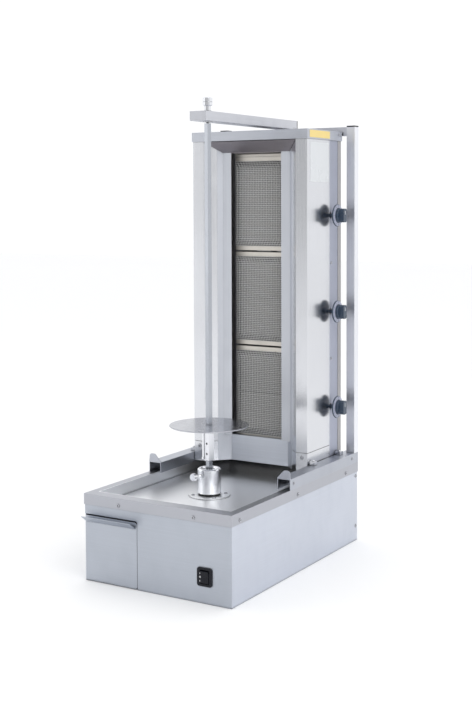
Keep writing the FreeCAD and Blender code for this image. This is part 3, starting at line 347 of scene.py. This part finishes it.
def painted_tower_shadow(start, end):
    """Painted shadow: darker towards the rear, under the burner tower."""
    def shade(tree):
        return spread(tree, object_place(tree, "Y"), (start, end), (0, TOWER_SHADOW_DEPTH))
    return shade


def metal(name, colour, roughness, grain="level", contrast=0.06, scratch=0.00002, edge=0.0006,
          handled=1.0, inlay=None):
    """Brushed or polished metal: grain, soft clouds, handling marks, edges brightened as wear and
    painted highlight, and painted shade in seams.

    An inlay (mask, colour, roughness, painted shadow) is a differently finished part of the
    surface; its last entry, when given, paints shadow on it.
    """
    material, tree, shader = new_material(name)
    streaks = noise(tree, GRAIN[grain], 4.0)
    clouds = noise(tree, CLOUDS, 2.0)
    marks = noise(tree, HAND_MARKS, 5.0)
    eased, edges = rounded(tree, edge)
    tone = calculate(tree, "ADD", calculate(tree, "MULTIPLY", streaks, STREAKS),
                     calculate(tree, "MULTIPLY", clouds, 1 - STREAKS))
    brushed = mix(tree, spread(tree, tone, NOISE_SPAN, (0, 1)),
                  tint(colour, 1 - contrast), tint(colour, 1 + contrast))
    # Brightened edges: wear and painted highlight.
    surface_colour = mix(tree, calculate(tree, "MULTIPLY", edges, EDGE_WEAR_HIGHLIGHT_SHARE), brushed, tint(colour, WEAR_HIGHLIGHT_TINT))
    rough = calculate(tree, "ADD", spread(tree, streaks, NOISE_SPAN, (-0.05, 0.05)),
                      spread(tree, marks, PATCH_SPAN,
                             (roughness - 0.02 * handled, roughness + 0.08 * handled)))
    if inlay:
        mask, inner_colour, inner_roughness, painted_shadow = inlay
        inner = mask(tree)
        smooth = mix(tree, clouds, tint(inner_colour, 1 - contrast),
                     tint(inner_colour, 1 + contrast))
        # Painted shadow on the inlay, darker towards the rear.
        if painted_shadow:
            smooth = mix(tree, painted_shadow(tree), smooth, tint(inner_colour, TOWER_SHADOW_DARK))
        surface_colour = mix(tree, inner, surface_colour, smooth)
        rough = calculate(tree, "ADD", rough, calculate(tree, "MULTIPLY", inner,
                                                        inner_roughness - roughness))
    # Painted shade in seams and corners, from ambient occlusion.
    surface_colour = mix(tree, painted_seam_shade(tree), tint(colour, SEAM_SHADE), surface_colour)
    tree.links.new(surface_colour, shader.inputs["Base Color"])
    shader.inputs["Metallic"].default_value = 1.0
    tree.links.new(rough, shader.inputs["Roughness"])
    tree.links.new(bump(tree, streaks, scratch, 0.6, eased), shader.inputs["Normal"])
    return material


def plastic(name, colour, roughness, speckle=0.05, edge=0.0008, rubbing=0.35, specular=0.5):
    """Moulded plastic or paint: fine grain, faint clouds and rubbed edges."""
    material, tree, shader = new_material(name)
    grain = noise(tree, GRIT, 2.0)
    clouds = noise(tree, BLOTCHES, 3.0)
    eased, edges = rounded(tree, edge)
    base = mix(tree, clouds, tint(colour, 1 - speckle), tint(colour, 1 + speckle))
    rubbed = mix(tree, calculate(tree, "MULTIPLY", edges, rubbing), base,
                 tuple(0.6 * c + 0.25 for c in colour))
    tree.links.new(rubbed, shader.inputs["Base Color"])
    shader.inputs["Specular IOR Level"].default_value = specular
    tree.links.new(spread(tree, clouds, NOISE_SPAN, (roughness - 0.06, roughness + 0.06)),
                   shader.inputs["Roughness"])
    tree.links.new(bump(tree, grain, 0.00004, 0.4, eased), shader.inputs["Normal"])
    return material


def perforated_ceramic(name, colour, pitch=0.0026, hole=0.31):
    """Burner tile: a close grid of small round flame holes in chalky ceramic, the holes painted
    near black as painted shade.
    """
    material, tree, shader = new_material(name)
    cell = add(tree, "ShaderNodeVectorMath", operation="FRACTION")
    tree.links.new(place_at(tree, (1 / pitch, 0, 1 / pitch)), cell.inputs[0])
    centred = add(tree, "ShaderNodeVectorMath", operation="SUBTRACT")
    tree.links.new(cell.outputs[0], centred.inputs[0])
    centred.inputs[1].default_value = (0.5, 0, 0.5)
    length = add(tree, "ShaderNodeVectorMath", operation="LENGTH")
    tree.links.new(centred.outputs[0], length.inputs[0])
    solid = spread(tree, length.outputs["Value"], (hole - 0.06, hole + 0.06), (0, 1))
    chalk = mix(tree, noise(tree, CHALK, 4.0), tint(colour, 0.8), tint(colour, 1.12))
    # The holes are painted near black: painted shade inside them.
    tree.links.new(mix(tree, solid, tint(colour, 0.06), chalk), shader.inputs["Base Color"])
    shader.inputs["Roughness"].default_value = 0.92
    tree.links.new(bump(tree, solid, 0.001), shader.inputs["Normal"])
    return material


def make_materials():
    """One material for each slot of the record, and for each node of OWN_LOOK."""
    pan_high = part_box("top_pan")[1]
    tower_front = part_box("tower_side_right")[0].y
    # The pan's well, with painted shadow darkening it towards the rear under the tower.
    well = (column(pan_high.x - PAN_SIDE_RIM, pan_high.y - PAN_FRONT_RIM), (0.94, 0.95, 0.97),
            0.36, painted_tower_shadow(tower_front - 0.02, tower_front + 0.06))
    centres = [(low.z + high.z) / 2 for low, high in
               (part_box(f"burner_box_{level}") for level in BURNERS[:2])]
    # Burner steel within each screen's height, painted dark as painted shade behind the screens.
    shade_behind_mesh = (levels(centres[0], centres[1] - centres[0], SCREEN_HALF), (0.17, 0.17, 0.17),
                   0.6, None)
    return {
        "cabinet_steel": metal("cabinet_steel", (0.60, 0.63, 0.70), 0.42),
        "pan_steel": metal("pan_steel", (0.46, 0.47, 0.51), 0.40, "y", 0.02, handled=0.25,
                           inlay=well),
        "tower_steel": metal("tower_steel", (0.70, 0.71, 0.74), 0.21, "z", 0.05, handled=0.4),
        "reflector_steel": metal("reflector_steel", (0.58, 0.60, 0.645), 0.40, "z", 0.05),
        "hood_steel": metal("hood_steel", (0.28, 0.26, 0.28), 0.45, "x", 0.12),
        "strip_steel": metal("strip_steel", (0.44, 0.46, 0.54), 0.4, "z"),
        "cover_steel": metal("cover_steel", (0.45, 0.44, 0.44), 0.42, "z", 0.08),
        "burner_steel": metal("burner_steel", (0.66, 0.63, 0.58), 0.5, "x", 0.10,
                              inlay=shade_behind_mesh),
        "mesh_wire": metal("mesh_wire", (0.95, 0.95, 0.93), 0.34, "turned", 0.12, edge=0.0001),
        "tube_aluminium": metal("tube_aluminium", (0.76, 0.77, 0.79), 0.35, "y"),
        "gas_brass": metal("gas_brass", (0.72, 0.55, 0.28), 0.36, "turned", 0.1),
        "chrome_parts": metal("chrome_parts", (0.80, 0.81, 0.84), 0.1, "turned", 0.03),
        "screw_steel": metal("screw_steel", (0.46, 0.47, 0.50), 0.20, "turned", 0.06,
                             edge=0.0002),
        "knob_plastic": plastic("knob_plastic", (0.026, 0.046, 0.080), 0.28, rubbing=0.2),
        "black_plastic": plastic("black_plastic", (0.006, 0.007, 0.012), 0.36, rubbing=0.08,
                                 specular=0.25),
        "seal_rubber": plastic("seal_rubber", (0.012, 0.012, 0.012), 0.7),
        "gearbox_paint": plastic("gearbox_paint", (0.12, 0.13, 0.15), 0.45),
        "motor_paint": plastic("motor_paint", (0.03, 0.033, 0.036), 0.4),
        "ceramic": perforated_ceramic("ceramic", (0.36, 0.355, 0.345)),
        "frame_steel": metal("frame_steel", (0.84, 0.85, 0.89), 0.34, "z", 0.06),
        "arm_steel": metal("arm_steel", (0.60, 0.61, 0.65), 0.34, "y", 0.08),
        "bar_steel": metal("bar_steel", (0.66, 0.67, 0.72), 0.36, "x", 0.08),
        "disc_steel": metal("disc_steel", (0.45, 0.46, 0.50), 0.20, "turned", 0.05),
        "spit_steel": metal("spit_steel", (0.44, 0.46, 0.50), 0.26, "z", 0.05),
        "apron_steel": metal("apron_steel", (0.60, 0.63, 0.69), 0.42, "x", 0.06),
        "cap_steel": metal("cap_steel", (0.54, 0.56, 0.61), 0.36, "x", 0.05),
        "rail_steel": metal("rail_steel", (0.46, 0.48, 0.53), 0.36, "y", 0.06),
        # Darker copy of the cabinet steel for the base's front faces: painted shade.
        "shaded_front_steel": metal("shaded_front_steel", (0.47, 0.50, 0.555), 0.42),
        "cup_steel": metal("cup_steel", (0.93, 0.94, 0.97), 0.20, "turned", 0.04),
        "shadow_steel": metal("shadow_steel", (0.10, 0.10, 0.11), 0.5, "y", 0.1),
    }


def paint_parts(materials):
    """Give every CAD node the material of its slot, or its own look."""
    for part in frame["record"]["subparts"]:
        mesh = nodes[part["node"]].data
        material = materials[OWN_LOOK.get(part["node"], part["material_slot"])]
        if not mesh.materials:
            mesh.materials.append(material)
        for index in range(len(mesh.materials)):
            mesh.materials[index] = material


# ---------------------------------------------------------------- pieces

def add_piece(name, data, material, body, smooth=False):
    """Put a finished mesh or curve in the scene, riding on its body."""
    piece = bpy.data.objects.new(name, data)
    data.materials.append(material)
    if smooth:
        data.shade_smooth()
    bpy.context.scene.collection.objects.link(piece)
    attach(piece, body)
    return piece


def mesh_from(name, work):
    """Turn a bmesh into mesh data."""
    mesh = bpy.data.meshes.new(name)
    work.to_mesh(mesh)
    work.free()
    return mesh


def new_curve(name, radius, resolution=2):
    """Empty curve that draws round wire of one radius."""
    curve = bpy.data.curves.new(name, "CURVE")
    curve.dimensions = "3D"
    curve.bevel_depth = radius
    curve.bevel_resolution = resolution
    return curve


def add_line(curve, points, closed=False):
    """Add one line through points to a curve."""
    spline = curve.splines.new("POLY")
    spline.points.add(len(points) - 1)
    for target, point in zip(spline.points, points):
        target.co = (*point, 1)
    spline.use_cyclic_u = closed


def loose_parts(node):
    """Vertices of each separate solid of a CAD node."""
    work = bmesh.new()
    work.from_mesh(nodes[node].data)
    bmesh.ops.remove_doubles(work, verts=work.verts, dist=1e-6)
    waiting, found = set(work.verts), []
    while waiting:
        stack, part = [waiting.pop()], []
        while stack:
            vertex = stack.pop()
            part.append(vertex.co.copy())
            for edge in vertex.link_edges:
                other = edge.other_vert(vertex)
                if other in waiting:
                    waiting.remove(other)
                    stack.append(other)
        found.append(part)
    work.free()
    return sorted(found, key=lambda part: tuple(round(c, 4) for c in box_of(part)[0]))


def box_of(points):
    """Low and high corners of a set of points."""
    low = Vector([min(p[i] for p in points) for i in range(3)])
    high = Vector([max(p[i] for p in points) for i in range(3)])
    return low, high


def screw_pose(points):
    """Centre of a screw's seat, its outward direction, head radius and head height."""
    low, high = box_of(points)
    size = high - low
    spans = [(abs(size[(i + 1) % 3] - size[(i + 2) % 3]), i) for i in range(3)]
    axis = min(spans)[1]
    middle = (low + high) / 2
    radius = size[(axis + 1) % 3] / 2

    def spine(level):
        """Point of the screw's middle line at a level."""
        return [level if i == axis else middle[i] for i in range(3)]

    def width(level):
        """Greatest reach from the middle line at a level."""
        ring = [p for p in points if abs(p[axis] - level) < 1e-5]
        return max((math.dist(p, spine(level)) for p in ring), default=0)

    outward = 1 if width(high[axis]) >= width(low[axis]) else -1
    tip = high[axis] if outward > 0 else low[axis]
    wide = [p[axis] for p in points if math.dist(p, spine(p[axis])) > 0.9 * radius]
    height = max(wide) - min(wide)
    seat = middle.copy()
    seat[axis] = tip - outward * height
    direction = Vector([outward if i == axis else 0 for i in range(3)])
    return seat, direction, radius, height


def pan_head(work, seat, direction, radius, height):
    """Add one domed screw head with a cross recess."""
    rings, segments = 12, 32
    shoulder, fullness, recess = 0.35, 2.6, 0.7
    turn = direction.to_track_quat("Z", "Y")
    arm, half_slot = 0.55 * radius, 0.13 * radius

    def rise(distance, angle):
        """Height of the head at a place on it."""
        side = distance / radius
        curve = math.sqrt(max(0.0, 1 - side ** fullness))
        dome = height * (shoulder + (1 - shoulder) * curve)
        u, v = abs(distance * math.cos(angle)), abs(distance * math.sin(angle))
        in_slot = max(0.0, 1 - max(0.0, min(u, v) - half_slot) / (0.5 * half_slot))
        in_arm = max(0.0, min(1.0, (arm - max(u, v)) / (0.25 * arm)))
        return dome - recess * height * min(1.0, in_slot) * in_arm

    top = work.verts.new(seat + turn @ Vector((0, 0, rise(0, 0))))
    previous = None
    for ring in range(1, rings + 1):
        distance = radius * ring / rings
        current = []
        for k in range(segments):
            angle = TAU * k / segments
            point = Vector((distance * math.cos(angle), distance * math.sin(angle),
                            rise(distance, angle)))
            current.append(work.verts.new(seat + turn @ point))
        for k in range(segments):
            after = (k + 1) % segments
            if previous is None:
                work.faces.new((top, current[k], current[after]))
            else:
                work.faces.new((previous[k], current[k], current[after], previous[after]))
        previous = current
    foot = [work.verts.new(seat + turn @ Vector((radius * math.cos(TAU * k / segments),
                                                 radius * math.sin(TAU * k / segments), 0)))
            for k in range(segments)]
    for k in range(segments):
        after = (k + 1) % segments
        work.faces.new((previous[k], foot[k], foot[after], previous[after]))
    work.faces.new(list(reversed(foot)))


# Pan heads are wider than the plain CAD heads that they replace.
HEAD_SCALE = 1.3


def make_screws(node, body, material):
    """Cross recessed heads in place of a CAD node of plain screws."""
    work = bmesh.new()
    for points in loose_parts(node):
        seat, direction, radius, height = screw_pose(points)
        pan_head(work, seat, direction, HEAD_SCALE * radius, height)
    name = f"{node}_heads"
    piece = add_piece(name, mesh_from(name, work), material, body, smooth=True)
    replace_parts(piece, node)


def woven_screen(level, material):
    """Crimped wire screen of one burner, folded back to the burner's frame on all sides."""
    box_low, box_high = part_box(f"burner_box_{level}")
    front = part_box("burner_meshes")[0].y
    centre = (box_low.z + box_high.z) / 2
    pitch, wire, gap, slope = 0.0042, 0.00060, 0.001, 1.78
    half_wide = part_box("ceramic_tiles")[1].x
    outer_wide, outer_tall = box_high.x - gap, SCREEN_HALF
    half_tall = outer_tall - (outer_wide - half_wide) * slope

    def on_screen(x, z, lift):
        """Point of the screen, which slopes back beyond its flat middle."""
        beyond = max((abs(x) - half_wide) / (outer_wide - half_wide),
                     (abs(z) - half_tall) / (outer_tall - half_tall), 0)
        depth = beyond * (box_low.y - front - 2 * wire)
        return (x, front + wire + depth + lift, centre + z)

    curve = new_curve(f"burner_screen_{level}", wire, 0)
    across_count, up_count = round(2 * outer_wide / pitch), round(2 * outer_tall / pitch)
    for count, other, reach, other_reach, upright in (
            (across_count, up_count, outer_wide, outer_tall, True),
            (up_count, across_count, outer_tall, outer_wide, False)):
        for k in range(count + 1):
            fixed = -reach + 2 * reach * k / count
            points = []
            for step in range(2 * other + 1):
                along = -other_reach + other_reach * step / other
                crimp = wire * math.cos(math.pi * (step / 2 + k)) * (1 if upright else -1)
                x, z = (fixed, along) if upright else (along, fixed)
                points.append(on_screen(x, z, crimp))
            add_line(curve, points)
    return add_piece(f"burner_screen_{level}", curve, material, "burner_tower")


def make_screens(material):
    """The three screens, in place of the CAD grilles."""
    screens = [woven_screen(level, material) for level in BURNERS]
    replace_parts(screens[0], "burner_meshes")


def mesh_piece(name, work, material, body):
    """Turn a bmesh into a piece, with its faces pointing outward."""
    bmesh.ops.recalc_face_normals(work, faces=work.faces)
    return add_piece(name, mesh_from(name, work), material, body)


def join_loops(work, loops):
    """Faces between neighbouring loops of equal length, closed round to the first."""
    count = len(loops[0])
    for first, second in zip(loops, loops[1:] + loops[:1]):
        for k in range(count):
            after = (k + 1) % count
            work.faces.new((first[k], first[after], second[after], second[k]))


# Turn of the spit's square bar at rest.
SPIT_TURN = math.radians(-14)


def make_disc(material):
    """Flat polished meat disc with an eased rim, a boss below and a square hole."""
    low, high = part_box("meat_disc")
    centre_y, radius, segments = (low.y + high.y) / 2, (high.x - low.x) / 2, 160
    boss, thick, hole, boss_ease, rim_ease = 0.0145, 0.0025, 0.0052, 0.0005, 0.0008
    under = high.z - thick
    # None stands for the square hole.
    profile = [(None, low.z), (boss - boss_ease, low.z), (boss, low.z + boss_ease),
               (boss, under), (radius - rim_ease, under), (radius, under + rim_ease),
               (radius, high.z - rim_ease), (radius - rim_ease, high.z), (None, high.z)]
    work = bmesh.new()
    loops = []
    for reach, z in profile:
        loop = []
        for k in range(segments):
            angle = TAU * k / segments
            out = reach or hole / max(abs(math.cos(angle)), abs(math.sin(angle)))
            loop.append(work.verts.new((out * math.cos(angle + SPIT_TURN),
                                        centre_y + out * math.sin(angle + SPIT_TURN), z)))
        loops.append(loop)
    join_loops(work, loops)
    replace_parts(mesh_piece("flat_disc", work, material, "disc"), "meat_disc")


def make_top_strip(material):
    """Folded strip that closes the gap between the top burner and the hood."""
    box_low, box_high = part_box("burner_box_top")
    thick, fold, deep, clear, steps = 0.0012, 0.0025, 0.010, 0.0004, 6
    front, top = box_low.y - thick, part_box("hood")[0].z - clear
    outline = [(front, box_high.z + clear)]
    for radius, order in ((fold, range(steps + 1)), (fold - thick, range(steps, -1, -1))):
        arc = [(front + fold - radius * math.cos(math.pi / 2 * k / steps),
                top - fold + radius * math.sin(math.pi / 2 * k / steps)) for k in order]
        if radius == fold:
            outline += arc + [(front + deep, top), (front + deep, top - thick)]
        else:
            outline += arc + [(front + thick, box_high.z + clear)]
    work = bmesh.new()
    ends = [[work.verts.new((x, y, z)) for y, z in outline] for x in (box_low.x, box_high.x)]
    for k in range(len(outline)):
        after = (k + 1) % len(outline)
        work.faces.new((ends[0][k], ends[0][after], ends[1][after], ends[1][k]))
    for end in ends:
        work.faces.new(end)
    mesh_piece("top_burner_strip", work, material, "burner_tower")


def rounded_plate(name, low, high, x, radius, material):
    """Thin plate with round corners on a face that looks along +X; low and high are (y, z)."""
    thick, steps = 0.00025, 6
    corners = [(high[0], high[1], 0), (low[0], high[1], 1), (low[0], low[1], 2),
               (high[0], low[1], 3)]
    outline = []
    for y, z, quarter in corners:
        inward_y = -1 if y == high[0] else 1
        inward_z = -1 if z == high[1] else 1
        centre = (y + inward_y * radius, z + inward_z * radius)
        for step in range(steps + 1):
            angle = math.pi / 2 * (quarter + step / steps)
            outline.append((centre[0] + radius * math.cos(angle),
                            centre[1] + radius * math.sin(angle)))
    work = bmesh.new()
    back = [work.verts.new((x, y, z)) for y, z in outline]
    front = [work.verts.new((x + thick, y, z)) for y, z in outline]
    work.faces.new(front)
    work.faces.new(list(reversed(back)))
    for k in range(len(outline)):
        after = (k + 1) % len(outline)
        work.faces.new((back[k], back[after], front[after], front[k]))
    return add_piece(name, mesh_from(name, work), material, "burner_tower")


def make_labels():
    """Blank plates where the real object carries its stickers."""
    side_low, side_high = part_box("tower_side_right")
    cap_low, cap_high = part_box("top_cap")
    white = plastic("label_white", (0.64, 0.66, 0.68), 0.3, 0.01, 0.0002)
    yellow = plastic("label_yellow", (0.80, 0.62, 0.22), 0.35, 0.05, 0.0002)
    sticker_front, sticker_rear, sticker_down, sticker_up = 0.014, 0.103, 0.094, 0.006
    strip_front, strip_rear, strip_up, strip_down = 0.011, 0.107, 0.003, 0.002
    rounded_plate("side_label", (side_low.y + sticker_front, side_high.z - sticker_down),
                  (side_low.y + sticker_rear, side_high.z - sticker_up), side_high.x, 0.003,
                  white)
    rounded_plate("cap_label", (cap_low.y + strip_front, cap_low.z + strip_up),
                  (cap_low.y + strip_rear, cap_high.z - strip_down), cap_high.x, 0.002,
                  yellow)


def make_switch_marks(material):
    """Moulded line and ring marks on the rocker."""
    low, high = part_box("switch_rocker")
    inset, wire, rise, half_line, ring, segments = 0.0035, 0.0004, 0.0075, 0.0016, 0.0013, 16
    stretch, deep = 1.3, 0.0007
    x, middle = low.x + inset, (low.z + high.z) / 2
    front = low.y + deep
    curve = new_curve("switch_marks", wire)
    for up in (rise, -rise):
        add_line(curve, [(x, front - wire, middle + up - half_line),
                         (x, front - wire / 2, middle + up + half_line)])
    angles = [TAU * k / segments for k in range(segments)]
    add_line(curve, [(x + ring * math.cos(angle), front + deep,
                      middle + ring * stretch * math.sin(angle)) for angle in angles],
             closed=True)
    add_piece("switch_marks", curve, material, "rocker")


# Space between the tower's side and a knob's skirt.
KNOB_STAND = 0.015


def make_knob_lines(material):
    """Pointer line on each knob's grip."""
    wire, sunk, line_start, line_end = 0.0006, 0.0001, 0.002, 0.010
    for level in BURNERS:
        low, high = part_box(f"knob_{level}")
        centre_y, centre_z = (low.y + high.y) / 2, (low.z + high.z) / 2
        curve = new_curve(f"knob_line_{level}", wire)
        add_line(curve, [(high.x - sunk, centre_y, centre_z + reach)
                         for reach in (line_start, line_end)])
        add_piece(f"knob_line_{level}", curve, material, f"{level}_knob")


def upright_ring(work, x, centre, radius, segments):
    """Ring of vertices round a line along X; centre is (y, z)."""
    angles = [TAU * k / segments for k in range(segments)]
    return [work.verts.new((x, centre[0] + radius * math.cos(angle),
                            centre[1] + radius * math.sin(angle))) for angle in angles]


def make_knob_highlight_rings(face, ink):
    """Pale ring on each knob's skirt, a painted highlight on its face, with a tick for each step
    of the setting.
    """
    outer, inner, thick, segments, ticks = 0.0238, 0.0172, 0.00025, 64, 7
    tick_outer, tick_inner, tick_wire = 0.0228, 0.0200, 0.00035
    outer_deep, inner_deep = 0.0030, 0.0039
    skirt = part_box("tower_side_right")[1].x + KNOB_STAND
    outer_x, inner_x = skirt + outer_deep, skirt + inner_deep
    for level in BURNERS:
        low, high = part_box(f"knob_{level}")
        centre_y, centre_z = (low.y + high.y) / 2, (low.z + high.z) / 2
        work = bmesh.new()
        join_loops(work, [upright_ring(work, x, (centre_y, centre_z), radius, segments)
                          for x, radius in ((outer_x, outer), (outer_x + thick, outer),
                                            (inner_x + thick, inner), (inner_x, inner))])
        mesh_piece(f"knob_highlight_ring_{level}", work, face, f"{level}_knob")

        curve = new_curve(f"knob_ticks_{level}", tick_wire, 1)
        for k in range(ticks):
            angle = math.pi / 2 + math.pi * k / (ticks - 1)
            add_line(curve, [(x, centre_y + radius * math.cos(angle),
                              centre_z + radius * math.sin(angle))
                             for radius, x in ((tick_outer, outer_x + 2 * thick),
                                               (tick_inner, inner_x + thick))])
        add_piece(f"knob_ticks_{level}", curve, ink, f"{level}_knob")


# ---------------------------------------------------------------- the scene

bpy.context.scene.view_settings.view_transform = "Standard"
materials = make_materials()
mark_paint = plastic("mark_paint", (0.85, 0.86, 0.88), 0.4, 0.02, 0.0001)
make_camera()
make_world()
for light, (place, size, power) in AREA_LIGHTS.items():
    make_light(light, place, size, power)
make_overhead()
make_floor()
paint_parts(materials)
for node, body in (("cabinet_screws", "base"), ("flange_screws", "base"),
                   ("tower_screws", "burner_tower")):
    make_screws(node, body, materials["screw_steel"])
make_screens(materials["mesh_wire"])
make_disc(materials["disc_steel"])
make_top_strip(materials["burner_steel"])
make_labels()
make_switch_marks(mark_paint)
make_knob_lines(mark_paint)
# The pale rings are a painted highlight on the skirts; the ticks are print.
make_knob_highlight_rings(plastic("skirt_highlight_grey", (0.34, 0.36, 0.46), 0.35, 0.04, 0.0002),
                materials["knob_plastic"])
